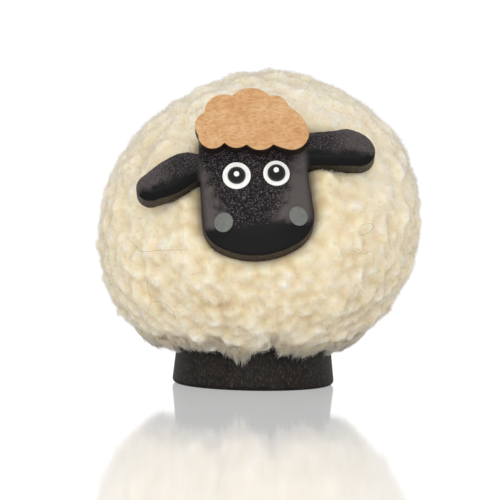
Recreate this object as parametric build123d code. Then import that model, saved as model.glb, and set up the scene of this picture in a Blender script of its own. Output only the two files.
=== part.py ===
from build123d import *
from itertools import combinations
from math import acos, radians, sqrt, tan
from random import Random
import os

# Sheep figurine: a wool pompom on a turned wooden foot, with a wooden head glued to its front.
# Millimetres, +Z up, origin at the middle of the foot's underside, the face looks along -Y.

# Foot: a black turned block that widens downwards
FOOT_DIAMETER = 30.4
FOOT_HEIGHT = 10.0
FOOT_TAPER = 6.2
FOOT_EDGE_ROUND = 0.9

# Hot-melt pad between the foot and the pompom
FOOT_PAD_DIAMETER = 17.0
FOOT_PAD_THICKNESS = 0.8

# Pompom: round in plan, a little flatter below its widest level, each level shifted to +X as it leans.
# The foot stands up into it, and its centre is the middle of its widest level.
FLEECE_DIAMETER = 61.6
FLEECE_CENTRE_RISE = 18.1
FLEECE_UPPER_HEIGHT = 30.1
FLEECE_LOWER_DEPTH = 27.6
FLEECE_SHIFT = 0.6
FLEECE_LEAN = 3.9
FOOT_SINK = 3.0
WOOL_CLEARANCE = 0.3

# Lumps of the cut pile, evenly spread over the pompom but for some stray.
# Their tops lie inside the full round by up to the variation, and the creases by the depth below the tops.
LUMP_SPACING = 6.8
LUMP_STRAY = 1.2
LUMP_VARIATION = 0.6
CREASE_DEPTH = 0.7
LUMP_SEED = 3

# Cord that binds the strands at the middle of the pompom, with its tails caught in the foot's pad
TIE_LOOP_DIAMETER = 8.0
TIE_CORD_DIAMETER = 1.2
TIE_KNOT_DIAMETER = 2.8
TIE_TAIL_SPACING = 1.5

# Head: a wooden cut-out with its ears, leaned back, turned in its own plane and sunk into the pompom.
# Rises, drops and reaches are from the middle of the head; the sink is from the pompom's widest radius.
HEAD_SINK = 7.1
HEAD_RISE = 5.2
HEAD_LEAN = 22.0
HEAD_TURN = 6.5
HEAD_THICKNESS = 5.5
JAW_WIDTH = 20.6
FOREHEAD_WIDTH = 18.4
CROWN_RISE = 16.0
CROWN_CORNER_RADIUS = 6.0
CHIN_DROP = 10.45
CHIN_RADIUS = 13.8
JAW_RADIUS = 6.0
FACE_EASING_WIDTH = 4.4
FACE_EASING_DEPTH = 1.8
FACE_EASING_RADIUS = 8.0

# Ears: each is the outline around three circles, at the root, the belly and the tip.
# Left and right are the viewer's, here and below.
EAR_THICKNESS = 4.9
EAR_EASING_WIDTH = 1.4
EAR_EASING_DEPTH = 1.0
EAR_EASING_RADIUS = 1.0
EAR_ROOT_REACH = 9.0
LEFT_EAR_ROOT_RADIUS = 1.9
LEFT_EAR_ROOT_RISE = 7.55
LEFT_EAR_BELLY_REACH = 15.0
LEFT_EAR_BELLY_RADIUS = 3.3
LEFT_EAR_BELLY_RISE = 5.6
LEFT_EAR_TIP_REACH = 18.6
LEFT_EAR_TIP_RADIUS = 2.55
LEFT_EAR_TIP_RISE = 4.0
RIGHT_EAR_ROOT_RADIUS = 3.1
RIGHT_EAR_ROOT_RISE = 8.7
RIGHT_EAR_BELLY_REACH = 16.0
RIGHT_EAR_BELLY_RADIUS = 3.4
RIGHT_EAR_BELLY_RISE = 8.3
RIGHT_EAR_TIP_REACH = 19.25
RIGHT_EAR_TIP_RADIUS = 2.85
RIGHT_EAR_TIP_RISE = 7.35

# Each circle starts where the outline leaves it out: outwards 1, inwards -1
EAR_CIRCLE_STARTS = (1, -1, -1)

# Hot-melt pad between the head and the pompom
HEAD_PAD_DIAMETER = 14.0
HEAD_PAD_THICKNESS = 1.0

# Topknot: a natural wood cut-out on the forehead, nearly level
TOPKNOT_WIDTH = 20.2
TOPKNOT_HEIGHT = 11.85
TOPKNOT_THICKNESS = 3.0
TOPKNOT_SHIFT = -0.75
TOPKNOT_RISE = 7.7
TOPKNOT_TURN = 1.0

# Its outline: each arc runs from a corner, past a bulge, to the next corner, anticlockwise from lower left.
# Shares of half the width, to either side of the middle, and of the height, up from the lowest point.
TOPKNOT_CORNER_SHARES = [
    (-0.49, 0.12),
    (-0.10, 0.09),
    (0.37, 0.09),
    (0.71, 0.00),
    (1.00, 0.29),
    (0.64, 0.70),
    (0.31, 0.87),
    (-0.36, 0.87),
    (-0.84, 0.60),
    (-0.95, 0.24),
]
TOPKNOT_BULGE_SHARES = [
    (-0.29, 0.03),
    (0.18, 0.00),
    (0.53, 0.03),
    (0.92, 0.09),
    (0.87, 0.53),
    (0.55, 0.83),
    (-0.02, 1.00),
    (-0.66, 0.86),
    (-1.00, 0.45),
    (-0.81, 0.04),
]

# Enamel dabs on the face: eyes and nostrils, each layer one film thick
ENAMEL_FILM = 0.2
FACE_DABS_SHIFT = 0.4
EYE_SPACING = 7.1
LEFT_EYE_RISE = 4.15
RIGHT_EYE_RISE = 3.95
LEFT_EYE_DIAMETER = 5.0
RIGHT_EYE_DIAMETER = 4.7
PUPIL_DIAMETER = 3.2
GLINT_DIAMETER = 0.95
LEFT_GLINT_RISE = 0.2
RIGHT_GLINT_RISE = 0.5
NOSTRIL_SPACING = 13.3
NOSTRIL_DROP = 4.2
NOSTRIL_WIDTH = 3.3
NOSTRIL_HEIGHT = 3.45

# Levels and places that follow from the sizes.
# The boards' origin is on the head's back: +X to the viewer's right, +Y up the board and +Z outwards.
UPRIGHT = 90
HALF_TURN = 180
FOOT_PAD_TOP = FOOT_HEIGHT + FOOT_PAD_THICKNESS
FLEECE_CENTRE_HEIGHT = FOOT_PAD_TOP + FLEECE_CENTRE_RISE
FLEECE_PLACE = Pos(FLEECE_SHIFT, 0, FLEECE_CENTRE_HEIGHT)
HEAD_CENTRE = (0, HEAD_SINK - FLEECE_DIAMETER / 2, FLEECE_CENTRE_HEIGHT + HEAD_RISE)
BOARD_PLACE = Pos(HEAD_CENTRE) * Rot(X=UPRIGHT - HEAD_LEAN)
HEAD_PLACE = BOARD_PLACE * Rot(Z=HEAD_TURN)
TOPKNOT_PLACE = BOARD_PLACE * Rot(Z=TOPKNOT_TURN) * Pos(TOPKNOT_SHIFT, TOPKNOT_RISE, HEAD_THICKNESS)


def standing(solid, height, base):
    """Moves a solid that is centred on its origin up, so that it stands on the level given."""
    return Pos(Z=base + height / 2) * solid


def foot_radius(height):
    """The foot's radius at a height above its underside."""
    return FOOT_DIAMETER / 2 - height * tan(radians(FOOT_TAPER))


def foot_block():
    cone = Cone(foot_radius(0), foot_radius(FOOT_HEIGHT), FOOT_HEIGHT)
    block = standing(cone, FOOT_HEIGHT, 0)
    return fillet(block.edges().group_by(Axis.Z)[0], FOOT_EDGE_ROUND)


def foot_glue_pad():
    return standing(Cylinder(FOOT_PAD_DIAMETER / 2, FOOT_PAD_THICKNESS), FOOT_PAD_THICKNESS, FOOT_HEIGHT)


def tie(clearance):
    """The binding cord, grown by a clearance: a loop, its knot and two tails down to the foot's pad."""
    cord_radius = TIE_CORD_DIAMETER / 2 + clearance
    knot_place = FLEECE_PLACE * Pos(Y=TIE_LOOP_DIAMETER / 2)
    tail_length = FLEECE_CENTRE_HEIGHT - FOOT_PAD_TOP
    loop = FLEECE_PLACE * Torus(TIE_LOOP_DIAMETER / 2, cord_radius)
    knot = knot_place * Sphere(TIE_KNOT_DIAMETER / 2 + clearance)
    cord = loop + knot
    for side in (-1, 1):
        tail = Cylinder(cord_radius, tail_length)
        cord += knot_place * Pos(side * TIE_TAIL_SPACING / 2, 0, -tail_length / 2) * tail
    return cord


def icosahedron():
    """The triangles of a regular solid of twenty faces about the origin, with edges of two units."""
    golden = (1 + sqrt(5)) / 2
    corners = []
    for first in (-1, 1):
        for second in (-golden, golden):
            corners += [Vector(0, first, second), Vector(first, second, 0), Vector(second, 0, first)]
    edge = min((start - end).length for start, end in combinations(corners, 2))

    def meet(trio):
        return all(round((start - end).length - edge, 3) == 0 for start, end in combinations(trio, 2))

    return [trio for trio in combinations(corners, 3) if meet(trio)]


def lump_triangles():
    """Each triangle of the icosahedron divided into smaller ones about a lump wide, as unit directions."""
    for first, second, third in icosahedron():
        arc = acos(first.normalized().dot(second.normalized())) * FLEECE_DIAMETER / 2
        rows = max(1, round(arc / LUMP_SPACING))

        def corner(along, across):
            return (first * (rows - along - across) + second * along + third * across).normalized()

        for along in range(rows):
            for across in range(rows - along):
                start, end, side = corner(along, across), corner(along + 1, across), corner(along, across + 1)
                yield start, end, side
                if along + across < rows - 1:
                    yield end, corner(along + 1, across + 1), side


def lumpy_ball():
    """The pompom's ball about its centre: flat facets from each lump's top to the creases around it."""
    chance = Random(LUMP_SEED)
    tops = {}

    def top(way):
        key = (round(way.X, 6), round(way.Y, 6), round(way.Z, 6))
        if key not in tops:
            stray = Vector(*[chance.uniform(-LUMP_STRAY, LUMP_STRAY) for _ in range(3)])
            turned = (way + stray * (2 / FLEECE_DIAMETER)).normalized()
            height = FLEECE_UPPER_HEIGHT if turned.Z > 0 else FLEECE_LOWER_DEPTH
            rise = turned.Z * height
            shift = rise * tan(radians(FLEECE_LEAN))
            full = Vector(turned.X * FLEECE_DIAMETER / 2 + shift, turned.Y * FLEECE_DIAMETER / 2, rise)
            tops[key] = full - full.normalized() * chance.uniform(0, LUMP_VARIATION)
        return tops[key]

    def crease(start, end):
        middle = (start + end) / 2
        return middle - middle.normalized() * CREASE_DEPTH

    facets = []
    for trio in lump_triangles():
        first, second, third = [top(way) for way in trio]
        if (second - first).cross(third - first).dot(first) < 0:
            second, third = third, second
        creases = [crease(first, second), crease(second, third), crease(third, first)]
        corners = [
            (first, creases[0], creases[2]),
            (second, creases[1], creases[0]),
            (third, creases[2], creases[1]),
            creases,
        ]
        facets += [Face(Wire.make_polygon(points)) for points in corners]
    return Solid(Shell(facets))


def pompom():
    """The whole pompom before anything is let into it."""
    underside = Plane((0, 0, FOOT_HEIGHT - FOOT_SINK))
    return split(FLEECE_PLACE * lumpy_ball(), underside, keep=Keep.TOP)


def board_pocket(opening, depth):
    """A board's room in the wool: its opening, to a depth below the board's back and open in front."""
    return Pos(Z=-depth) * extrude(opening, FLEECE_DIAMETER)


def fleece():
    foot_pocket = Cone(
        foot_radius(0) + WOOL_CLEARANCE, foot_radius(FOOT_PAD_TOP) + WOOL_CLEARANCE, FOOT_PAD_TOP
    )
    wool = pompom() - standing(foot_pocket, FOOT_PAD_TOP, 0)
    wool -= HEAD_PLACE * board_pocket(head_opening(), HEAD_PAD_THICKNESS)
    wool -= TOPKNOT_PLACE * board_pocket(offset(topknot_outline(), WOOL_CLEARANCE), WOOL_CLEARANCE)
    return wool - tie(WOOL_CLEARANCE)


def face_outline():
    chin_centre = CHIN_RADIUS - CHIN_DROP
    sides = Polygon(
        (-JAW_WIDTH / 2, -CHIN_DROP),
        (JAW_WIDTH / 2, -CHIN_DROP),
        (FOREHEAD_WIDTH / 2, CROWN_RISE),
        (-FOREHEAD_WIDTH / 2, CROWN_RISE),
        align=None,
    )
    chin = Pos(Y=chin_centre) * Circle(CHIN_RADIUS)
    chin += Pos(Y=chin_centre) * Rectangle(2 * CHIN_RADIUS, CROWN_RISE, align=(Align.CENTER, Align.MIN))
    face = sides & chin
    face = fillet(face.vertices().group_by(Axis.Y)[-1], CROWN_CORNER_RADIUS)
    return fillet(face.vertices().group_by(Axis.Y)[0], JAW_RADIUS)


def ear_outline(side, clearance, rises, reaches, radii):
    """The taut outline around three circles; side is -1 for the viewer's left and 1 for the right."""
    circles = []
    for rise, reach, radius, start in zip(rises, reaches, radii, EAR_CIRCLE_STARTS):
        turned = Rot(Z=HALF_TURN if side * start < 0 else 0)
        circles += (Pos(side * reach, rise) * turned * Circle(radius + clearance)).edges()
    return make_hull(circles)


def left_ear_outline(clearance=0):
    return ear_outline(
        -1,
        clearance,
        (LEFT_EAR_ROOT_RISE, LEFT_EAR_BELLY_RISE, LEFT_EAR_TIP_RISE),
        (EAR_ROOT_REACH, LEFT_EAR_BELLY_REACH, LEFT_EAR_TIP_REACH),
        (LEFT_EAR_ROOT_RADIUS, LEFT_EAR_BELLY_RADIUS, LEFT_EAR_TIP_RADIUS),
    )


def right_ear_outline(clearance=0):
    return ear_outline(
        1,
        clearance,
        (RIGHT_EAR_ROOT_RISE, RIGHT_EAR_BELLY_RISE, RIGHT_EAR_TIP_RISE),
        (EAR_ROOT_REACH, RIGHT_EAR_BELLY_REACH, RIGHT_EAR_TIP_REACH),
        (RIGHT_EAR_ROOT_RADIUS, RIGHT_EAR_BELLY_RADIUS, RIGHT_EAR_TIP_RADIUS),
    )


def head_opening():
    """The head's outline with clearance all round, as the wool closes on it."""
    ears = left_ear_outline(WOOL_CLEARANCE) + right_ear_outline(WOOL_CLEARANCE)
    return offset(face_outline(), WOOL_CLEARANCE) + ears


def eased_board(outline, thickness, width, depth, radius):
    """A board whose front slopes away near its rim, with the slope blended into the flat."""
    board = extrude(outline, thickness)
    front = board.faces().sort_by(Axis.Z)[-1]
    board = chamfer(front.edges(), width, depth, reference=front)
    return fillet(board.faces().sort_by(Axis.Z)[-1].edges(), radius)


def face_board():
    return eased_board(
        face_outline(), HEAD_THICKNESS, FACE_EASING_WIDTH, FACE_EASING_DEPTH, FACE_EASING_RADIUS
    )


def ear_board(outline):
    return eased_board(outline, EAR_THICKNESS, EAR_EASING_WIDTH, EAR_EASING_DEPTH, EAR_EASING_RADIUS)


def head_board():
    return HEAD_PLACE * (face_board() + ear_board(left_ear_outline()) + ear_board(right_ear_outline()))


def head_glue_pad():
    pad = Cylinder(HEAD_PAD_DIAMETER / 2, HEAD_PAD_THICKNESS)
    return HEAD_PLACE * standing(pad, HEAD_PAD_THICKNESS, -HEAD_PAD_THICKNESS)


def topknot_outline():
    def place(shares):
        return (shares[0] * TOPKNOT_WIDTH / 2, shares[1] * TOPKNOT_HEIGHT)

    corners = [place(shares) for shares in TOPKNOT_CORNER_SHARES]
    bulges = [place(shares) for shares in TOPKNOT_BULGE_SHARES]
    following = corners[1:] + corners[:1]
    arcs = [ThreePointArc(start, bulge, end) for start, bulge, end in zip(corners, bulges, following)]
    return make_face(arcs)


def topknot_board():
    return TOPKNOT_PLACE * extrude(topknot_outline(), TOPKNOT_THICKNESS)


def dab(outline, layer):
    """One film of enamel that follows the face; layer counts the films below it."""
    face = face_board()
    column = extrude(outline, 2 * HEAD_THICKNESS)
    above = Pos(Z=(layer + 1) * ENAMEL_FILM) * face
    below = Pos(Z=layer * ENAMEL_FILM) * face
    return HEAD_PLACE * ((column & above) - below)


def eye_place(side):
    rise = LEFT_EYE_RISE if side < 0 else RIGHT_EYE_RISE
    return Pos(FACE_DABS_SHIFT + side * EYE_SPACING / 2, rise)


def eye_white(side):
    diameter = LEFT_EYE_DIAMETER if side < 0 else RIGHT_EYE_DIAMETER
    return dab(eye_place(side) * Circle(diameter / 2), 0)


def pupil(side):
    return dab(eye_place(side) * Circle(PUPIL_DIAMETER / 2), 1)


def glint(side):
    rise = LEFT_GLINT_RISE if side < 0 else RIGHT_GLINT_RISE
    return dab(eye_place(side) * Pos(Y=rise) * Circle(GLINT_DIAMETER / 2), 2)


def nostril(side):
    place = Pos(FACE_DABS_SHIFT + side * NOSTRIL_SPACING / 2, -NOSTRIL_DROP)
    return dab(place * Ellipse(NOSTRIL_WIDTH / 2, NOSTRIL_HEIGHT / 2), 0)


def main():
    nodes = {
        "foot_block": foot_block(),
        "foot_glue_pad": foot_glue_pad(),
        "fleece": fleece(),
        "tie_cord": tie(0),
        "head_board": head_board(),
        "head_glue_pad": head_glue_pad(),
        "topknot_board": topknot_board(),
    }
    for name, side in (("left", -1), ("right", 1)):
        nodes[f"{name}_eye_white"] = eye_white(side)
        nodes[f"{name}_pupil"] = pupil(side)
        nodes[f"{name}_glint"] = glint(side)
        nodes[f"{name}_nostril"] = nostril(side)
    os.makedirs("parts", exist_ok=True)
    for name, shape in nodes.items():
        export_step(shape, f"parts/{name}.step")


main()
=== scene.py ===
from math import cos, pi, radians, sin, sqrt, tan

import bpy
import numpy as np
from mathutils import Matrix, Vector
from mathutils.bvhtree import BVHTree
from mathutils.kdtree import KDTree


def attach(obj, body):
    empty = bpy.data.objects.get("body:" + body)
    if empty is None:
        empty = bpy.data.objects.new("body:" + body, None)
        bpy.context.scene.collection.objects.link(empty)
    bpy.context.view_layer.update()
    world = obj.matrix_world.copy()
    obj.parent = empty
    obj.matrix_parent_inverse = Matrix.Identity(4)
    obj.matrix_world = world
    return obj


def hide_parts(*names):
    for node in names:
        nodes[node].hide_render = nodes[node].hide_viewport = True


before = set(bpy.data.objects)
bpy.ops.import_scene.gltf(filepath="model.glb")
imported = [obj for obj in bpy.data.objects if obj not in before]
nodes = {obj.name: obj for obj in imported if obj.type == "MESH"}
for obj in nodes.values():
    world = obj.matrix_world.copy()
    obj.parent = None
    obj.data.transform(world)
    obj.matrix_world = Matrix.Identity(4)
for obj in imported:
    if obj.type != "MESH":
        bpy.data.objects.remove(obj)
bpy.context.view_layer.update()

# Sheep figurine: a wool pompom on a turned wooden foot, with a wooden head glued to its front.
# Metres, +Z up, the face looks along -Y. Left and right are the viewer's.
MM = 0.001

# Pompom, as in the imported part: its full round without the lumps
FLEECE_RADIUS = 30.8 * MM
FLEECE_UPPER_HEIGHT = 30.1 * MM
FLEECE_LOWER_DEPTH = 27.6 * MM
FLEECE_LEAN = tan(radians(3.9))
FLEECE_CENTRE = Vector((0.6, 0.0, 28.9)) * MM

# Foot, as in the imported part
FOOT_RADIUS = 15.2 * MM
FOOT_TAPER = tan(radians(6.2))

# Boards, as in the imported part: the frame on the head's back, +X right, +Y up the board, +Z outwards
HEAD_CENTRE = Vector((0.0, -23.7, 34.1)) * MM
HEAD_LEAN = radians(22.0)
HEAD_TURN = radians(6.5)
TOPKNOT_TURN = radians(1.0)
BOARD_TILT = Matrix.Rotation(pi / 2 - HEAD_LEAN, 3, "X")
HEAD_TILT = BOARD_TILT @ Matrix.Rotation(HEAD_TURN, 3, "Z")
TOPKNOT_TILT = BOARD_TILT @ Matrix.Rotation(TOPKNOT_TURN, 3, "Z")
FACE_NORMAL = tuple(BOARD_TILT @ Vector((0, 0, 1)))

# Sanded boards: the head's and the topknot's mesh size and smoothing
HEAD_VOXEL = 0.2 * MM
HEAD_SMOOTHING = 8
TOPKNOT_VOXEL = 0.15 * MM
TOPKNOT_SMOOTHING = 5
WELD_DISTANCE = 0.001 * MM

# The ears' rounded tops: a place on the head's board, a push and its reach, in millimetres
OUTLINE_GRIP = 0.5
EAR_ROUNDINGS = [((-12.6, 9.1), (0.0, 0.42), 3.6), ((18.6, 10.7), (0.25, 0.55), 3.6)]

# Head's paint and its painted light and shade, in millimetres on its board: the band between the cheeks and the
# ears' upper halves, where the grain specks are painted lit, the chin, left black as painted shade, and the ears'
# grey sheen
PAINT_STRAY_SIZE = 1.6
PAINT_STRAY = 6.0
PAINT_GRAIN_SIZE = 0.27
BAND_LEFT = 7.1
BAND_LEFT_SLOPE = 0.35
BAND_RIGHT = 4.9
BAND_RIGHT_SLOPE = 0.45
BAND_EDGE = 1.5
CHIN_DROP = 5.0
CHIN_EDGE = 0.9
EAR_START = 8.6
EAR_FULL = 10.4
EAR_MIDDLE = 10.35
EAR_FALL = -0.25
EAR_SIDE_TILT = 0.085
EAR_SHEEN_START = 13.5
EAR_SHEEN_FULL = 18.0

# Wool: soft tufts on the lumps, in loose clusters
PILE_SEED = 20
TUFT_COUNT = 2300
TUFT_SPACING = sqrt(4 * pi / TUFT_COUNT)
TUFT_STRAY = 0.20
TUFT_SIZES = (0.7, 1.2)
TUFT_WIDTH = 0.46
TUFT_RELIEF = 1.75 * MM
TUFT_WARP = 0.09
TUFT_WARP_SIZE = 3.2 * MM
TUFT_SOFTENING = 6
TUFTS_NEAR = 7
CLUSTER_RELIEF = 0.22 * MM
CLUSTER_SIZE = 6.5 * MM
CORE_SINK = 0.1 * MM
CORE_FINENESS = 8

# The lumps under them, and the dents round the hard parts
LUMP_CAST_START = 16 * MM
LUMP_LIMIT = 2.5 * MM
LUMP_USUAL_DEPTH = 0.8 * MM
LUMP_SOFTENING = 45
DENT_SOFTENING = 45
HARD_CLEARANCE = 0.3 * MM
TIP_CLEARANCE = 0.1 * MM

# The wool's tones from 0 in the creases to 1, darker and yellower in the creases as painted shade between the tufts:
# the smoother upper part is paler as painted light from above, the lower rim is paler as painted light, and the wool
# that the head dents is darker as painted shade from the head
SMOOTH_ABOVE = 50 * MM
SMOOTH_RUN = 25 * MM
SMOOTH_RELIEF = 0.6
MIDDLE_TONE = 0.45
TUFT_TONE = 0.07
PATCH_TONE = 0.06
PATCH_SIZE = 16 * MM
UPPER_PAINTED_LIGHT = 0.2
RIM_PAINTED_LIGHT = 0.45
PALER_BELOW = 13.0 * MM
PALER_RUN = 5 * MM
HEAD_SHADE_SOFTENING = 240
HEAD_SHADE_DEPTH = 0.8
WOOL_TONES = [(0.0, "#E3CEA5"), (0.35, "#F3E5C5"), (0.7, "#F5EAD3"), (1.0, "#F6EFE1")]

# Waves of a smooth random field: how many, their sizes as shares, and their sum's usual peak
WAVE_COUNT = 12
WAVE_SIZES = (0.7, 1.4)
WAVE_PEAK = 1.5

# Fibres: rings by the share of the length below them and the share of the width
SIDES = 3
SHORT_RINGS = [(0.0, 1.0), (0.6, 0.85)]
LONG_RINGS = [(0.0, 1.0), (0.4, 1.0), (0.75, 0.8)]
TONE_COLUMNS = 12

# Pile, in millimetres: how far its fibres stand out, root, gather to their tuft, stray and bend
FIBRE_COUNT = 110000
PILE_PIECES = 8
FIBRE_PROUD = (0.2, 0.8)
FIBRE_PROUD_TAIL = 0.14
FIBRE_ROOT = (0.5, 0.9)
FIBRE_GATHER = 0.2
FIBRE_STRAY = 0.45
FIBRE_BEND = 0.3
FIBRE_WIDTH = (0.035, 0.065)
FIBRE_TONE = 0.08

# Ragged lower rim: the tufts at the front by their turn to the right in degrees and their drop below the rim in
# millimetres, and others all round
RIM_LEVEL = 7.5 * MM
RIM_RADIUS = 19.0 * MM
NOTCH_LEVEL = 10.0 * MM
CORE_LOWEST = 6.4 * MM
TUFT_END_RISE = 1.0 * MM
RIM_WAVER = 0.2 * MM
RIM_WAVER_SIZE = 4 * MM
FRONT_TUFTS = [
    (-40, 0.1), (-33, 0.4), (-26, 0.5), (-14, 0.5), (-9.5, 1.5), (-6.5, 2.6), (-3.5, 2.5),
    (0, 1.0), (5, 0.3), (19, 0.9), (24, 0.6), (31, 0.9), (37, 1.4), (44, 0.3),
]
OTHER_TUFTS = 32
OTHER_REACH = radians(130)
OTHER_STRAY = 0.03
OTHER_DROPS = (-0.4, 1.2)
RIM_SPREADS = (1.2, 1.9)

# Fringe, in millimetres: locks of fibres that run on from the rim, in a pale tone that is painted light where they
# hang in the ball's shade
LOCK_COUNT = 760
LOCK_FIBRES = 16
LOCK_LEAN = 0.1
LOCK_STRAY = 0.015
LOCK_HANG = (-0.4, 0.8)
LOCK_INSET = (0.2, 2.2)
LOCK_HOLD = (0.3, 2.0)
LOCK_SINK = (0.5, 1.6)
LOCK_ROOT_STRAY = 0.02
LOCK_RAGGED = (-0.2, 0.6)
LONG_END_SHARE = 0.05
LONG_END = (0.3, 0.9)
LOCK_FOOT_ROOM = 0.7
LOCK_END_STRAY = 0.22
LOCK_BEND = 0.22
LOCK_WIDTH = (0.04, 0.08)
LOCK_TONE = 0.9
LOCK_TONE_STRAY = 0.2

# Stray hairs on the wool, each by the pixels of the photograph where its bends were seen
HAIR_RADIUS = 0.028 * MM
HAIR_LIFT = 0.5 * MM
HAIR_SIGHT = (505 * MM, 560 * MM)
HAIR_SIGHT_STEP = 0.05 * MM
HAIR_PIXELS = [
    [(127, 238), (130, 243), (134, 248), (142, 251), (160, 250.5), (184, 250)],
    [(146, 281), (145, 291), (148, 301), (147, 313)],
    [(149, 303), (160, 305), (170, 312), (174, 320)],
    [(360, 226), (366, 224), (373, 226), (368, 233), (361, 235), (358, 231)],
    [(351, 250), (362, 254), (372, 252), (374, 262)],
    [(390, 137), (393, 143), (397, 147), (396, 154)],
]

# Stage
FLOOR_SIZE = 6.0
FLOOR_GLOW = 1.0
FLOOR_IOR = 1.5
WORLD_LIGHT = 0.74
WORLD_SEEN = 1.06
LIGHT_TARGET = Vector((0, 0, 0.03))
CAMERA_PLACE = Vector((-0.99, -550.0, 55.0)) * MM
CAMERA_DIP = radians(3.12)
CAMERA_ROLL = radians(1.0)
PIXELS_PER_RADIAN = 2941
PICTURE_WIDTH = 500
SENSOR_WIDTH = 36
CAMERA_AIM = Matrix.Rotation(pi / 2 - CAMERA_DIP, 3, "X") @ Matrix.Rotation(CAMERA_ROLL, 3, "Z")


# Nodes

def linear(colour):
    """An sRGB hex colour as linear RGBA."""
    channels = [int(colour[start:start + 2], 16) / 255 for start in (1, 3, 5)]
    return [c / 12.92 if c <= 0.04045 else ((c + 0.055) / 1.055) ** 2.4 for c in channels] + [1]


def cells(size):
    """The texture scale at which a pattern's cells have a size in millimetres."""
    return 1 / (size * MM)


def node(tree, kind, settings=None, links=None):
    """Adds a node: settings are its own properties, links its inputs, each a value or another node's output."""
    made = tree.nodes.new(kind)
    for name, value in (settings or {}).items():
        if name == "stops":
            held = made.color_ramp.elements
            while len(held) < len(value):
                held.new(1)
            for stop, (place, colour) in zip(held, value):
                stop.position = place
                stop.color = linear(colour)
        else:
            setattr(made, name, value)
    for name, value in (links or {}).items():
        if isinstance(value, bpy.types.NodeSocket):
            tree.links.new(value, made.inputs[name])
        else:
            made.inputs[name].default_value = value
    return made


def material(name, build):
    """A node material; build gets its tree and gives the surface shader."""
    made = bpy.data.materials.new(name)
    made.use_nodes = True
    tree = made.node_tree
    tree.nodes.clear()
    shader = build(tree)
    node(tree, "ShaderNodeOutputMaterial", links={"Surface": shader.outputs[0]})
    return made


def part_place(tree):
    """Coordinates of the part itself, in metres."""
    return node(tree, "ShaderNodeTexCoord").outputs["Object"]


def board_place(tree, tilt, origin):
    """Coordinates in a board's own frame, in millimetres."""
    links = {"Vector": part_place(tree), "Location": origin, "Rotation": tilt.to_euler(), "Scale": (MM, MM, MM)}
    return node(tree, "ShaderNodeMapping", {"vector_type": "TEXTURE"}, links).outputs["Vector"]


def stretched(tree, place, scale, turn=0.0):
    """Coordinates turned about Z and scaled, so that a pattern on them runs along one way."""
    links = {"Vector": place, "Rotation": (0, 0, turn), "Scale": scale}
    return node(tree, "ShaderNodeMapping", links=links).outputs["Vector"]


def noise(tree, place, scale, detail, roughness=0.5):
    """A cloudy pattern, mostly 0.3 to 0.7."""
    links = {"Vector": place, "Scale": scale, "Detail": detail, "Roughness": roughness}
    return node(tree, "ShaderNodeTexNoise", links=links).outputs["Fac"]


def ramp(tree, value, stops):
    """Colours by a value; each stop is a place and a colour."""
    return node(tree, "ShaderNodeValToRGB", {"stops": stops}, {"Fac": value}).outputs["Color"]


def sums(tree, *steps):
    """A chain of arithmetic: each step is an operation and its values, where None stands for the result so far."""
    result = None
    for operation, *values in steps:
        given = [result if value is None else value for value in values]
        made = node(tree, "ShaderNodeMath", {"operation": operation}, dict(enumerate(given)))
        result = made.outputs[0]
    return result


def soft_step(tree, value, low, high):
    """0 below low, 1 above high, and smooth between."""
    links = {"Value": value, "From Min": low, "From Max": high}
    return node(tree, "ShaderNodeMapRange", {"interpolation_type": "SMOOTHSTEP"}, links).outputs["Result"]


def mix(tree, factor, low, high, blend="MIX"):
    """A colour between two others."""
    settings = {"data_type": "RGBA", "blend_type": blend}
    return node(tree, "ShaderNodeMix", settings, {0: factor, 6: low, 7: high}).outputs[2]


def between(tree, factor, low, high):
    """A value between two others."""
    return node(tree, "ShaderNodeMix", {"data_type": "FLOAT"}, {0: factor, 2: low, 3: high}).outputs[0]


def facing(tree, low, high):
    """How squarely the surface faces the way the face does or away from it, from 0 at low to 1 at high."""
    normal = node(tree, "ShaderNodeTexCoord").outputs["Normal"]
    dot = node(tree, "ShaderNodeVectorMath", {"operation": "DOT_PRODUCT"}, {0: normal, 1: FACE_NORMAL})
    return soft_step(tree, sums(tree, ("ABSOLUTE", dot.outputs["Value"])), low, high)


def bumps(tree, height, strength, depth):
    """A bumped normal, from a height pattern and a depth in millimetres."""
    links = {"Strength": strength, "Distance": depth * MM, "Height": height}
    return node(tree, "ShaderNodeBump", links=links).outputs[0]


def surface(tree, links):
    """The surface shader."""
    return node(tree, "ShaderNodeBsdfPrincipled", links=links)


# Painted and bare wood

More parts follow.
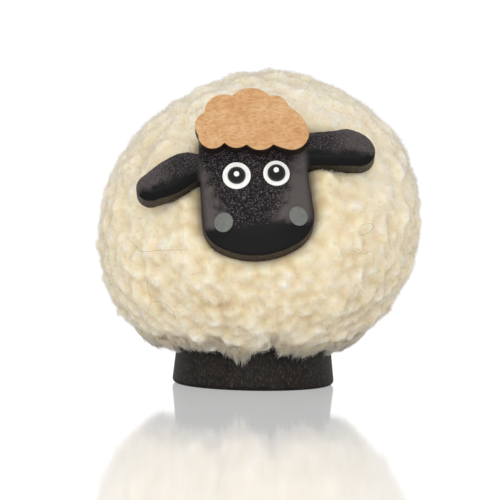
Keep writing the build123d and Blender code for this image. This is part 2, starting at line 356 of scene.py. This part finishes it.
def head_paint_and_sheen(tree):
    """Thin black paint on a sanded board, with painted light and shade: the bare grain specks are painted lit
    between the eyes and on the ears' upper halves, where they catch the light from above, the cheeks and the ears'
    tips are painted grey as sheen, the chin is left black as painted shade where it turns down, and the paint is
    brown where it thins on the wall."""
    place = board_place(tree, HEAD_TILT, HEAD_CENTRE)
    parts = node(tree, "ShaderNodeSeparateXYZ", links={"Vector": place})
    x, y = parts.outputs["X"], parts.outputs["Y"]
    stray = noise(tree, place, 1 / PAINT_STRAY_SIZE, 4.0)
    stray = sums(tree, ("SUBTRACT", stray, 0.5), ("MULTIPLY", None, PAINT_STRAY))
    grain = noise(tree, place, 1 / PAINT_GRAIN_SIZE, 3.0, 0.7)
    specks = soft_step(tree, grain, 0.5, 0.68)

    left_room = sums(tree, ("MULTIPLY_ADD", y, BAND_LEFT_SLOPE, BAND_LEFT), ("ADD", None, x))
    right_room = sums(tree, ("MULTIPLY_ADD", y, BAND_RIGHT_SLOPE, BAND_RIGHT), ("SUBTRACT", None, x))
    band = sums(tree, ("MINIMUM", left_room, right_room), ("ADD", None, stray))
    band = soft_step(tree, band, -BAND_EDGE, BAND_EDGE)
    above_chin = sums(tree, ("ADD", y, CHIN_DROP), ("MULTIPLY_ADD", stray, 0.4, None))
    above_chin = soft_step(tree, above_chin, -CHIN_EDGE, CHIN_EDGE)
    out = sums(tree, ("ABSOLUTE", x))
    ear = soft_step(tree, out, EAR_START, EAR_FULL)
    middle = sums(tree, ("MULTIPLY_ADD", out, EAR_FALL, EAR_MIDDLE), ("MULTIPLY_ADD", x, EAR_SIDE_TILT, None))
    lit_upper = sums(tree, ("SUBTRACT", y, middle), ("MULTIPLY_ADD", stray, 0.5, None))
    lit_upper = soft_step(tree, lit_upper, -1.3, 0.6)

    # painted light: the grain specks show lit only in the band between the cheeks, above the chin, and on the ears'
    # upper halves
    lit_face_zone = sums(tree, ("MULTIPLY", band, above_chin))
    lit_specks = sums(tree, ("MULTIPLY", specks, between(tree, ear, lit_face_zone, lit_upper)))
    # painted sheen: the cheeks and the ears' tips are grey, and the chin is left black as painted shade
    cheek_sheen = sums(tree, ("SUBTRACT", 1.0, band), ("MULTIPLY", None, above_chin))
    tip = soft_step(tree, out, EAR_SHEEN_START, EAR_SHEEN_FULL)
    ear_sheen = sums(tree, ("MULTIPLY_ADD", tip, 0.5, 0.1), ("MULTIPLY", None, lit_upper))
    colour = mix(tree, between(tree, ear, cheek_sheen, ear_sheen), linear("#0A0808"), linear("#554F4D"))
    colour = mix(tree, lit_specks, colour, linear("#6A5F63"))
    wall = mix(tree, specks, linear("#2B251F"), linear("#625850"))
    colour = mix(tree, facing(tree, 0.30, 0.50), wall, colour)
    normal = bumps(tree, lit_specks, 0.3, 0.08)
    return surface(tree, {"Base Color": colour, "Roughness": 0.5, "Specular IOR Level": 0.13, "Normal": normal})


def bare_wood(tree):
    """Laser-cut birch, oiled: short grain flecks and pores on a honey ground, burnt dark along the cut edge."""
    place = board_place(tree, TOPKNOT_TILT, HEAD_CENTRE)
    along = stretched(tree, place, (0.45, 1.0, 1.0), turn=-0.25)
    flecks = noise(tree, along, 1 / 0.36, 2.0, 0.6)
    patches = noise(tree, place, 1 / 3.5, 2.0)
    pores = noise(tree, along, 1 / 0.28, 0.0)
    ground = ramp(tree, patches, [(0.3, "#CB9C68"), (0.7, "#D7AE80")])
    marks = ramp(tree, flecks, [(0.35, "#D9B184"), (0.6, "#FFFFFF")])
    colour = mix(tree, 0.5, ground, marks, "MULTIPLY")
    colour = mix(tree, soft_step(tree, pores, 0.68, 0.95), colour, linear("#A87443"))
    colour = mix(tree, facing(tree, 0.10, 0.45), linear("#1C120B"), colour)
    normal = bumps(tree, flecks, 0.2, 0.05)
    return surface(tree, {"Base Color": colour, "Roughness": 0.5, "Specular IOR Level": 0.3, "Normal": normal})


def black_stain(tree):
    """Black stain on turned wood: fine upright pores stay paler where the stain is thin."""
    along = stretched(tree, part_place(tree), (1.0, 1.0, 0.5))
    pores = noise(tree, along, cells(0.3), 4.0, 0.75)
    patches = noise(tree, along, cells(3.0), 2.0)
    ground = ramp(tree, patches, [(0.3, "#171412"), (0.7, "#231F1C")])
    specks = ramp(tree, pores, [(0.53, "#000000"), (0.72, "#FFFFFF")])
    colour = mix(tree, specks, ground, linear("#57504A"))
    normal = bumps(tree, pores, 0.3, 0.06)
    return surface(tree, {"Base Color": colour, "Roughness": 0.6, "Specular IOR Level": 0.14, "Normal": normal})


def enamel(low, high, roughness):
    """Brush-dabbed enamel: a smooth film, a little thicker in places."""
    def build(tree):
        cover = noise(tree, part_place(tree), cells(0.8), 2.0)
        colour = ramp(tree, cover, [(0.3, low), (0.7, high)])
        return surface(
            tree, {"Base Color": colour, "Roughness": roughness, "Normal": bumps(tree, cover, 0.15, 0.05)}
        )
    return build


def pupil_enamel_and_sheen(name):
    """Black enamel with a dark grey ring around the pupil, painted as the reflection on its domed edge."""
    def build(tree):
        held = nodes[name]
        spot = sum((held.matrix_world @ Vector(corner) for corner in held.bound_box), Vector()) / 8
        parts = node(tree, "ShaderNodeSeparateXYZ", links={"Vector": board_place(tree, HEAD_TILT, spot)})
        x, y = parts.outputs["X"], parts.outputs["Y"]
        far = sums(tree, ("MULTIPLY", x, x), ("MULTIPLY_ADD", y, y, None), ("SQRT", None))
        # painted reflection: the grey ring on the pupil's domed edge
        colour = mix(tree, soft_step(tree, far, 1.2, 1.5), linear("#0A0909"), linear("#343532"))
        return surface(tree, {"Base Color": colour, "Roughness": 0.4, "Specular IOR Level": 0.2})
    return build


def hot_melt(tree):
    """Set hot-melt glue: cloudy and waxy, with faint ripples."""
    ripples = noise(tree, part_place(tree), cells(2.0), 2.0)
    colour = ramp(tree, ripples, [(0.3, "#D8CDB2"), (0.7, "#E9E1CC")])
    return surface(tree, {"Base Color": colour, "Roughness": 0.4, "Normal": bumps(tree, ripples, 0.3, 0.2)})


def binding_yarn(tree):
    """Twisted wool yarn: the plies show as slanted bands across it."""
    links = {"Vector": part_place(tree), "Scale": cells(0.8) / 20, "Distortion": 1.0}
    plies = node(tree, "ShaderNodeTexWave", {"bands_direction": "DIAGONAL"}, links).outputs["Fac"]
    colour = ramp(tree, plies, [(0.1, "#D6C49B"), (0.8, "#EFE4C8")])
    return surface(tree, {"Base Color": colour, "Roughness": 0.9})


def paint(name, finish):
    """Gives a CAD node its finish."""
    mesh = nodes[name].data
    mesh.materials.clear()
    mesh.materials.append(finish)


def choose(made):
    """Makes an object the one that is picked and worked on."""
    bpy.ops.object.select_all(action="DESELECT")
    made.select_set(True)
    bpy.context.view_layer.objects.active = made


def softened(name, voxel, passes):
    """A copy of a CAD board as one fine mesh, with its edges softened as sanding leaves them."""
    held = nodes[name]
    made = bpy.data.objects.new(f"{name}_sanded", held.data.copy())
    made.data.transform(held.matrix_world)
    bpy.context.collection.objects.link(made)
    choose(made)
    bpy.ops.object.mode_set(mode="EDIT")
    bpy.ops.mesh.select_mode(type="VERT")
    bpy.ops.mesh.select_all(action="SELECT")
    bpy.ops.mesh.remove_doubles(threshold=WELD_DISTANCE)
    bpy.ops.object.mode_set(mode="OBJECT")
    remesh = made.modifiers.new("remesh", "REMESH")
    remesh.mode = "VOXEL"
    remesh.voxel_size = voxel
    bpy.ops.object.modifier_apply(modifier=remesh.name)
    smooth = made.modifiers.new("smooth", "SMOOTH")
    smooth.factor = 0.5
    smooth.iterations = passes
    bpy.ops.object.modifier_apply(modifier=smooth.name)
    bpy.ops.object.shade_smooth()
    return made


def fuller(piece, place, push, reach):
    """Draws a head board's outline out round a place on it, by a push in its own plane, in millimetres."""
    outward = HEAD_TILT @ (Vector((*push, 0)) * MM)
    for vertex in piece.data.vertices:
        spot = HEAD_TILT.transposed() @ (vertex.co - HEAD_CENTRE) / MM
        vertex.select = (spot.xy - Vector(place)).length < OUTLINE_GRIP
    bpy.ops.object.mode_set(mode="EDIT")
    bpy.ops.transform.translate(
        value=outward,
        use_proportional_edit=True,
        proportional_edit_falloff="SMOOTH",
        proportional_size=reach * MM,
    )
    bpy.ops.object.mode_set(mode="OBJECT")


def board(name, voxel, passes, finish, roundings=()):
    """Puts a board's softened copy in its place."""
    piece = softened(name, voxel, passes)
    for rounding in roundings:
        fuller(piece, *rounding)
    piece.data.materials.clear()
    piece.data.materials.append(finish)
    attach(piece, "root")
    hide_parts(name)


black_wood_and_sheen = material("black_painted_wood", head_paint_and_sheen)
board("head_board", HEAD_VOXEL, HEAD_SMOOTHING, black_wood_and_sheen, EAR_ROUNDINGS)
birch = material("natural_birch", bare_wood)
board("topknot_board", TOPKNOT_VOXEL, TOPKNOT_SMOOTHING, birch)
paint("foot_block", material("black_stained_wood", black_stain))
glue = material("hot_melt", hot_melt)
paint("foot_glue_pad", glue)
paint("head_glue_pad", glue)
paint("tie_cord", material("binding_yarn", binding_yarn))
white = material("white_enamel", enamel("#EFEDE8", "#F8F6F2", 0.35))
grey = material("grey_enamel", enamel("#60635E", "#6C6F69", 0.5))
for side in ("left", "right"):
    paint(f"{side}_eye_white", white)
    paint(f"{side}_glint", white)
    paint(f"{side}_pupil", material(f"{side}_pupil_enamel_and_sheen", pupil_enamel_and_sheen(f"{side}_pupil")))
    paint(f"{side}_nostril", grey)


# Wool

def unit(vectors):
    """The vectors at length 1."""
    return vectors / np.linalg.norm(vectors, axis=1, keepdims=True)


def waves(points, size):
    """A smooth random field over points, about -1 to 1, with humps of a size in metres."""
    total = np.zeros(len(points))
    for _ in range(WAVE_COUNT):
        way = unit(rng.normal(size=(1, 3)))[0]
        total += np.sin(points @ way * (2 * pi / size) * rng.uniform(*WAVE_SIZES) + rng.uniform(0, 2 * pi))
    return total / sqrt(WAVE_COUNT / 2) / WAVE_PEAK


def search_tree(*names):
    """A tree over CAD nodes, to cast rays at."""
    points, faces = [], []
    for name in names:
        held = nodes[name]
        first = len(points)
        points += [held.matrix_world @ vertex.co for vertex in held.data.vertices]
        faces += [[first + corner for corner in face.vertices] for face in held.data.polygons]
    return BVHTree.FromPolygons(points, faces)


def cast(tree, directions, start):
    """How far each direction runs from the pompom's centre, past a start, before it meets the tree."""
    reach = np.full(len(directions), 1.0)
    for index, way in enumerate(directions):
        way = Vector(way)
        distance = tree.ray_cast(FLEECE_CENTRE + way * start, way, 0.1)[3]
        if distance is not None:
            reach[index] = distance + start
    return reach


def full_round(directions):
    """How far the pompom's full round goes from its centre along unit directions."""
    x, y, z = directions.T
    across = x - z * FLEECE_LEAN
    height = np.where(z > 0, FLEECE_UPPER_HEIGHT, FLEECE_LOWER_DEPTH)
    return 1 / np.sqrt((across ** 2 + y ** 2) / FLEECE_RADIUS ** 2 + (z / height) ** 2)


def point_tree(points):
    """A tree over points, to find the nearest in."""
    tree = KDTree(len(points))
    for index, point in enumerate(points):
        tree.insert(point, index)
    tree.balance()
    return tree


rng = np.random.default_rng(PILE_SEED)
centre = np.array(FLEECE_CENTRE)
lumps = search_tree("fleece")
hard = search_tree("head_board", "topknot_board", "foot_block", "foot_glue_pad", "head_glue_pad")

counts = np.arange(TUFT_COUNT) + 0.5
rise = 1 - 2 * counts / TUFT_COUNT
swing = counts * pi * (3 - sqrt(5))
tufts = np.column_stack([np.cos(swing) * np.sqrt(1 - rise ** 2), np.sin(swing) * np.sqrt(1 - rise ** 2), rise])
tufts = unit(tufts + rng.normal(scale=TUFT_STRAY * TUFT_SPACING, size=tufts.shape))
tuft_size = rng.uniform(*TUFT_SIZES, TUFT_COUNT)
tuft_tone = rng.normal(scale=TUFT_TONE, size=TUFT_COUNT)

front = np.array(FRONT_TUFTS)
others = pi / 2 + np.linspace(-OTHER_REACH, OTHER_REACH, OTHER_TUFTS)
others = others + rng.normal(scale=OTHER_STRAY, size=OTHER_TUFTS)
rim_turns = np.concatenate([np.radians(front[:, 0] - 90), others])
rim_drops = np.concatenate([front[:, 1], rng.uniform(*OTHER_DROPS, OTHER_TUFTS)]) * MM
rim_spreads = rng.uniform(*RIM_SPREADS, len(rim_turns)) * MM


def turned(angles):
    """Angles as turns from -pi to pi."""
    return np.angle(np.exp(1j * angles))


def rim(turns):
    """The level of the wool's ragged lower edge at turns about the foot, where each tuft ends round, and the
    tuft there."""
    apart = turned(turns[:, None] - rim_turns) * RIM_RADIUS
    ends = RIM_LEVEL - rim_drops + TUFT_END_RISE * (apart / rim_spreads) ** 2
    return np.minimum(ends.min(axis=1), NOTCH_LEVEL), ends.argmin(axis=1)


def round_at(level):
    """How far the pompom's full round is from its middle at a level."""
    share = np.clip((centre[2] - level) / FLEECE_LOWER_DEPTH, -0.98, 0.98)
    return FLEECE_RADIUS * np.sqrt(1 - share ** 2)


def around_foot(turns, far, level):
    """Points at turns and distances about the pompom's leaning middle, at levels."""
    middle = centre[0] + (level - centre[2]) * FLEECE_LEAN
    return np.column_stack([middle + far * np.cos(turns), far * np.sin(turns), level])


def soften(field, edges, passes):
    """A field over the core's vertices, each averaged with its neighbours again and again."""
    ends = np.concatenate([edges, edges[:, ::-1]])
    shared = np.bincount(ends[:, 0], minlength=len(field))
    for _ in range(passes):
        around = np.bincount(ends[:, 0], weights=field[ends[:, 1]], minlength=len(field)) / shared
        field = (field + around) / 2
    return field


def fleece_core():
    """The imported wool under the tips: the lumpy ball with a soft round end at each tuft, dented by the hard parts.
    Gives the piece, and its points, normals, ways to their tuft's tip, tones and whether each lies open."""
    bpy.ops.object.select_all(action="DESELECT")
    bpy.ops.mesh.primitive_ico_sphere_add(subdivisions=CORE_FINENESS, radius=1)
    core = bpy.context.object
    core.name = "fleece_core"
    count = len(core.data.vertices)
    flat = np.empty(count * 3)
    core.data.vertices.foreach_get("co", flat)
    ways = unit(flat.reshape(-1, 3))
    edges = np.empty(len(core.data.edges) * 2, dtype=int)
    core.data.edges.foreach_get("vertices", edges)
    edges = edges.reshape(-1, 2)
    even = full_round(ways)
    spots = ways * FLEECE_RADIUS

    # Tufts: a soft hump at each
    tree = point_tree(tufts)
    warp = np.column_stack([waves(spots, TUFT_WARP_SIZE) for _ in range(3)])
    warped = unit(ways + TUFT_WARP * TUFT_SPACING * warp)
    nearest = [tree.find_n(way, TUFTS_NEAR) for way in warped]
    shares = np.array([[found[2] for found in near] for near in nearest]) / (TUFT_WIDTH * TUFT_SPACING)
    owners = np.array([[found[1] for found in near] for near in nearest])
    weights = np.exp(-shares ** 2)
    swell = soften((weights * tuft_size[owners]).sum(axis=1), edges, TUFT_SOFTENING)
    swell = (swell - swell.mean()) / (swell.max() - swell.min())
    lower = np.clip((SMOOTH_ABOVE - centre[2] - even * ways[:, 2]) / SMOOTH_RUN, 0, 1)
    swell = (SMOOTH_RELIEF + (1 - SMOOTH_RELIEF) * lower) * swell

    # Lumps under the tufts, dents round the hard parts and the ragged rim
    reach = cast(lumps, ways, LUMP_CAST_START)
    reach = np.where(np.abs(reach - even) > LUMP_LIMIT, even - LUMP_USUAL_DEPTH, reach)
    reach = soften(reach, edges, LUMP_SOFTENING) - CORE_SINK + TUFT_RELIEF * swell
    reach += CLUSTER_RELIEF * waves(spots, CLUSTER_SIZE)
    room = cast(hard, ways, 0.0) - HARD_CLEARANCE
    dent = np.maximum(reach - room, 0)
    reach = reach - np.maximum(dent, soften(dent, edges, DENT_SOFTENING))
    points = centre + ways * reach[:, None]
    edge = rim(np.arctan2(points[:, 1], points[:, 0]))[0] + RIM_WAVER * waves(spots, RIM_WAVER_SIZE)
    points[:, 2] = np.maximum(points[:, 2], np.maximum(edge, CORE_LOWEST))
    core.data.vertices.foreach_set("co", points.ravel())
    core.data.update()
    bpy.ops.object.shade_smooth()

    # Tones, with painted shade in the creases where the tufts swell least
    own = (weights * tuft_tone[owners]).sum(axis=1) / weights.sum(axis=1)
    # painted light: the upper part is paler
    hump = MIDDLE_TONE + swell + own + PATCH_TONE * waves(spots, PATCH_SIZE) + UPPER_PAINTED_LIGHT * (1 - lower)
    # painted light: the lower rim is paler
    hump += RIM_PAINTED_LIGHT * np.clip((PALER_BELOW - points[:, 2]) / PALER_RUN, 0, 1)
    # painted shade round the head: the wool that the head dents is darker
    head_shade = soften(np.clip(dent / MM, 0, 1), edges, HEAD_SHADE_SOFTENING)
    hump = np.clip(hump - HEAD_SHADE_DEPTH * head_shade * (points[:, 2] > PALER_BELOW), 0, 1)
    held = core.data.attributes.new("hump", "FLOAT", "POINT")
    held.data.foreach_set("value", hump)

    normals = np.empty(count * 3)
    core.data.vertex_normals.foreach_get("vector", normals)
    leads = centre + tufts * full_round(tufts)[:, None]
    gather = leads[owners[:, 0]] - points
    return core, points, normals.reshape(-1, 3), gather, hump, dent == 0


def core_wool(tree):
    """Packed cream wool: yellower and darker in the creases between tufts as painted shade, with soft light under
    its surface.
    """
    hump = node(tree, "ShaderNodeAttribute", {"attribute_name": "hump"}).outputs["Fac"]
    return surface(
        tree,
        {
            "Base Color": ramp(tree, hump, WOOL_TONES),
            "Roughness": 0.95,
            "Specular IOR Level": 0.1,
            "Subsurface Weight": 0.85,
            "Subsurface Radius": (1.0, 0.8, 0.5),
            "Subsurface Scale": 2.4 * MM,
        },
    )


def wool_fibre(tree):
    """Washed sheep's wool: matt cream fibres, each of one tone, paler towards the cut tip and darker towards the
    root as painted shade deep in the pile.
    """
    place = node(tree, "ShaderNodeUVMap", {"uv_map": "OFBake"})
    parts = node(tree, "ShaderNodeSeparateXYZ", links={"Vector": place.outputs["UV"]})
    tone = ramp(tree, parts.outputs["X"], WOOL_TONES)
    # painted shade: darker towards the root, paler towards the tip
    along = ramp(tree, parts.outputs["Y"], [(0.2, "#F4EAD4"), (0.8, "#FFFFFF")])
    return surface(
        tree,
        {
            "Base Color": mix(tree, 1.0, tone, along, "MULTIPLY"),
            "Roughness": 0.9,
            "Specular IOR Level": 0.1,
            "Subsurface Weight": 0.7,
            "Subsurface Radius": (1.0, 0.9, 0.75),
            "Subsurface Scale": 0.4 * MM,
        },
    )


def fibre_faces(levels):
    """One fibre's faces: its corners, their places on the fibre's own strip of the UV map, and the faces' sizes."""
    corners, sizes, places = [], [], []
    low, high, middle = 0.25, 0.75, 0.5
    for ring in range(len(levels) - 1):
        for corner in range(SIDES):
            after = (corner + 1) % SIDES
            first, second = ring * SIDES, (ring + 1) * SIDES
            corners += [first + corner, first + after, second + after, second + corner]
            places += [(low, levels[ring]), (high, levels[ring]), (high, levels[ring + 1]), (low, levels[ring + 1])]
            sizes.append(4)
    last = (len(levels) - 1) * SIDES
    for corner in range(SIDES):
        corners += [last + corner, last + (corner + 1) % SIDES, len(levels) * SIDES]
        places += [(low, levels[-1]), (high, levels[-1]), (middle, 1.0)]
        sizes.append(3)
    corners += [2, 1, 0]
    places += [(low, 0.0), (high, 0.0), (middle, 0.05)]
    sizes.append(3)
    return np.array(corners), np.array(sizes), np.array(places)


def fibre_mesh(name, rings, roots, axes, bends, lengths, widths, tones):
    """One closed three-sided tapering tube for each fibre, in one mesh. Each ring has a share of the fibre's
    length below it and a share of its width."""
    count = len(roots)
    across = unit(np.cross(axes, rng.normal(size=(count, 3))))
    beside = np.cross(axes, across)

    def spine(share):
        return roots + axes * (lengths * share)[:, None] + bends * share ** 2

    turns = 2 * pi * np.arange(SIDES) / SIDES
    points = np.empty((count, len(rings) * SIDES + 1, 3))
    for ring, (share, width) in enumerate(rings):
        middle = spine(share)
        for corner, turn in enumerate(turns):
            out = across * cos(turn) + beside * sin(turn)
            points[:, ring * SIDES + corner] = middle + out * (widths * width / 2)[:, None]
    points[:, -1] = spine(1.0)

    corners, sizes, places = fibre_faces([share for share, width in rings])
    vertex_count = points.shape[1]
    all_corners = (corners[None, :] + vertex_count * np.arange(count)[:, None]).ravel()
    all_sizes = np.tile(sizes, count)
    starts = np.concatenate([[0], np.cumsum(all_sizes)[:-1]])
    column = np.clip((tones * TONE_COLUMNS).astype(int), 0, TONE_COLUMNS - 1)
    uv = np.empty((count, len(corners), 2))
    uv[:, :, 0] = (column[:, None] + places[None, :, 0]) / TONE_COLUMNS
    uv[:, :, 1] = 0.02 + 0.96 * places[None, :, 1]

    mesh = bpy.data.meshes.new(name)
    mesh.vertices.add(count * vertex_count)
    mesh.vertices.foreach_set("co", points.ravel())
    mesh.loops.add(len(all_corners))
    mesh.loops.foreach_set("vertex_index", all_corners)
    mesh.polygons.add(len(all_sizes))
    mesh.polygons.foreach_set("loop_start", starts)
    mesh.polygons.foreach_set("use_smooth", np.ones(len(all_sizes), dtype=bool))
    layer = mesh.uv_layers.new(name="OFBake")
    layer.data.foreach_set("uv", uv.ravel())
    mesh.update()
    mesh.validate()
    made = bpy.data.objects.new(name, mesh)
    bpy.context.collection.objects.link(made)
    return made


def clear_of_hard(tips):
    """Which tips no hard part comes before, seen from the pompom's centre."""
    ends = tips - centre
    far = np.linalg.norm(ends, axis=1)
    return cast(hard, ends / far[:, None], 0.0) > far + TIP_CLEARANCE


def pile(points, normals, gather, hump, open_wool):
    """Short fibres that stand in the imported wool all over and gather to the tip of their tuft."""
    picked = rng.choice(np.flatnonzero(open_wool), FIBRE_COUNT, replace=False)
    count = len(picked)
    proud = rng.uniform(*FIBRE_PROUD, count) * MM + FIBRE_PROUD_TAIL * MM * rng.exponential(1.0, count)
    lengths = proud + rng.uniform(*FIBRE_ROOT, count) * MM
    stray = rng.normal(scale=FIBRE_STRAY, size=(count, 3))
    axes = unit(normals[picked] + FIBRE_GATHER * gather[picked] / MM + stray)
    bends = rng.normal(scale=FIBRE_BEND * MM, size=(count, 3))
    tips = points[picked] + axes * proud[:, None]
    roots = tips - axes * lengths[:, None] - bends
    widths = rng.uniform(*FIBRE_WIDTH, count) * MM
    tones = hump[picked] + rng.normal(scale=FIBRE_TONE, size=count)
    kept = clear_of_hard(tips)
    return roots[kept], axes[kept], bends[kept], lengths[kept], widths[kept], tones[kept]


def fringe():
    """Fibres that run on from the wool's ragged lower edge, gathered in small locks that end brushy."""
    turns = rng.uniform(-pi, pi, LOCK_COUNT)
    level, owner = rim(turns)
    ends = turns + LOCK_LEAN * turned(rim_turns[owner] - turns) + rng.normal(scale=LOCK_STRAY, size=LOCK_COUNT)
    hung = level + rng.uniform(*LOCK_HANG, LOCK_COUNT) * MM
    inset = rng.uniform(*LOCK_INSET, LOCK_COUNT) * MM

    lock = np.repeat(np.arange(LOCK_COUNT), LOCK_FIBRES)
    count = len(lock)
    held = np.maximum(level[lock], CORE_LOWEST) + rng.uniform(*LOCK_HOLD, count) * MM
    sunk = rng.uniform(*LOCK_SINK, count) * MM
    roots = around_foot(turns[lock] + rng.normal(scale=LOCK_ROOT_STRAY, size=count), round_at(held) - sunk, held)
    lowest = hung[lock] + rng.uniform(*LOCK_RAGGED, count) * MM
    lowest -= np.where(rng.uniform(size=count) < LONG_END_SHARE, rng.uniform(*LONG_END, count) * MM, 0)
    room = FOOT_RADIUS - lowest * FOOT_TAPER + LOCK_FOOT_ROOM * MM
    far = np.maximum(round_at(lowest) - inset[lock], room)
    tips = around_foot(ends[lock], far, lowest) + rng.normal(scale=LOCK_END_STRAY * MM, size=(count, 3))
    bends = rng.normal(scale=LOCK_BEND * MM, size=(count, 3))
    runs = tips - roots - bends
    lengths = np.linalg.norm(runs, axis=1)
    widths = rng.uniform(*LOCK_WIDTH, count) * MM
    # pale tone: painted light on locks that hang in the ball's shade
    tones = rng.normal(LOCK_TONE, LOCK_TONE_STRAY, count)
    tones += rng.normal(scale=LOCK_TONE_STRAY, size=LOCK_COUNT)[lock]
    return roots, runs / lengths[:, None], bends, lengths, widths, tones


def pixel_way(x, y):
    """The way from the pompom's centre to the spot of its full round that a pixel of the photograph shows."""
    middle = PICTURE_WIDTH / 2
    sight = CAMERA_AIM @ Vector((x - middle, middle - y, -PIXELS_PER_RADIAN)).normalized()
    along = np.arange(*HAIR_SIGHT, HAIR_SIGHT_STEP)
    ways = np.array(CAMERA_PLACE) + np.array(sight) * along[:, None] - centre
    within = np.linalg.norm(ways, axis=1) < full_round(unit(ways))
    return Vector(ways[within.argmax()]).normalized()


def stray_hairs(points):
    """Fine brown hairs that lie on the wool in loose bends."""
    tree = point_tree(points)
    drawn = bpy.data.curves.new("stray_hairs", "CURVE")
    drawn.dimensions = "3D"
    drawn.bevel_depth = HAIR_RADIUS
    drawn.bevel_resolution = 1
    drawn.use_fill_caps = True
    drawn.resolution_u = 6
    for hair in HAIR_PIXELS:
        line = drawn.splines.new("BEZIER")
        line.bezier_points.add(len(hair) - 1)
        for bend, pixel in zip(line.bezier_points, hair):
            way = pixel_way(*pixel)
            spot = tree.find(FLEECE_CENTRE + way * full_round(np.array([way]))[0])[0]
            bend.co = FLEECE_CENTRE + way * ((spot - FLEECE_CENTRE).length + HAIR_LIFT)
            bend.handle_left_type = bend.handle_right_type = "AUTO"
    made = bpy.data.objects.new("stray_hairs", drawn)
    bpy.context.collection.objects.link(made)
    choose(made)
    bpy.ops.object.convert(target="MESH")
    return bpy.context.object


def brown_hair(tree):
    """A coarse brown hair of the fleece, darker along some of its length."""
    shade = noise(tree, part_place(tree), cells(2.0), 1.0)
    colour = ramp(tree, shade, [(0.35, "#9C8260"), (0.65, "#C6AD88")])
    return surface(tree, {"Base Color": colour, "Roughness": 0.6})


def wool_piece(piece, finish):
    """Dresses a piece of the wool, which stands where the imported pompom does."""
    piece.data.materials.append(finish)
    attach(piece, "root")
    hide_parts("fleece")


core, *planting = fleece_core()
wool_piece(core, material("packed_wool", core_wool))

fibre_wool = material("wool_fibre", wool_fibre)
fibres = pile(*planting)
for number, band in enumerate(np.array_split(np.arange(len(fibres[0])), PILE_PIECES), 1):
    wool_piece(fibre_mesh(f"fleece_pile_{number}", SHORT_RINGS, *[values[band] for values in fibres]), fibre_wool)
wool_piece(fibre_mesh("fleece_fringe", LONG_RINGS, *fringe()), fibre_wool)
wool_piece(stray_hairs(planting[0]), material("brown_hair", brown_hair))


# Stage: a glossy white floor, soft light from above, the front and the left, and the camera

def gloss_white(tree):
    """White glazed board: bright by itself to the camera, with the object's shadow and a mirror image at a low
    angle."""
    cloud = noise(tree, part_place(tree), cells(80), 1.0)
    colour = ramp(tree, cloud, [(0.3, "#F2F2F2"), (0.7, "#F6F6F6")])
    seen = node(tree, "ShaderNodeLightPath").outputs["Is Camera Ray"]
    matt = node(tree, "ShaderNodeBsdfDiffuse", links={"Color": mix(tree, seen, colour, linear("#606060"))})
    strength = sums(tree, ("MULTIPLY", seen, FLOOR_GLOW))
    glow = node(tree, "ShaderNodeEmission", links={"Color": linear("#FFFFFF"), "Strength": strength})
    body = node(tree, "ShaderNodeAddShader", links={0: matt.outputs[0], 1: glow.outputs[0]})
    shine = node(tree, "ShaderNodeBsdfGlossy", links={"Color": linear("#FFFFFF"), "Roughness": 0.08})
    edge = node(tree, "ShaderNodeFresnel", links={"IOR": FLOOR_IOR})
    return node(tree, "ShaderNodeMixShader", links={0: edge.outputs[0], 1: body.outputs[0], 2: shine.outputs[0]})


bpy.ops.object.select_all(action="DESELECT")
bpy.ops.mesh.primitive_plane_add(size=FLOOR_SIZE)
floor = bpy.context.object
floor.name = "floor"
floor.data.materials.append(material("white_board", gloss_white))

world = bpy.data.worlds.new("studio")
bpy.context.scene.world = world
world.use_nodes = True
sky = world.node_tree
sky.nodes.clear()
path = node(sky, "ShaderNodeLightPath").outputs
seen = sums(
    sky,
    ("MAXIMUM", path["Is Glossy Ray"], path["Is Transmission Ray"]),
    ("MAXIMUM", path["Is Camera Ray"], None),
)
dim = node(sky, "ShaderNodeBackground", links={"Color": linear("#FFFFFF"), "Strength": WORLD_LIGHT})
bright = node(sky, "ShaderNodeBackground", links={"Color": linear("#FFFFFF"), "Strength": WORLD_SEEN})
both = node(sky, "ShaderNodeMixShader", links={0: seen, 1: dim.outputs[0], 2: bright.outputs[0]})
node(sky, "ShaderNodeOutputWorld", links={"Surface": both.outputs[0]})


def softbox(name, place, size, radiance):
    """A square lamp that looks at the object, with a brightness given as radiance."""
    lamp = bpy.data.lights.new(name, "AREA")
    lamp.shape = "SQUARE"
    lamp.size = size
    lamp.energy = radiance * pi * size ** 2
    made = bpy.data.objects.new(name, lamp)
    bpy.context.collection.objects.link(made)
    made.location = place
    made.rotation_euler = (LIGHT_TARGET - Vector(place)).to_track_quat("-Z", "Y").to_euler()


softbox("top_softbox", (-0.1, -0.25, 0.75), size=0.6, radiance=0.45)
softbox("front_softbox", (0.0, -0.9, 0.15), size=0.7, radiance=2.22)
softbox("left_softbox", (-0.7, -0.3, 0.30), size=0.45, radiance=0.35)

camera_data = bpy.data.cameras.new("camera")
camera_data.sensor_width = SENSOR_WIDTH
camera_data.lens = SENSOR_WIDTH * PIXELS_PER_RADIAN / PICTURE_WIDTH
camera_data.clip_start = 0.01
camera_data.clip_end = 20
camera = bpy.data.objects.new("camera", camera_data)
bpy.context.collection.objects.link(camera)
camera.location = CAMERA_PLACE
camera.rotation_euler = CAMERA_AIM.to_euler()
bpy.context.scene.camera = camera
bpy.context.scene.view_settings.view_transform = "Standard"
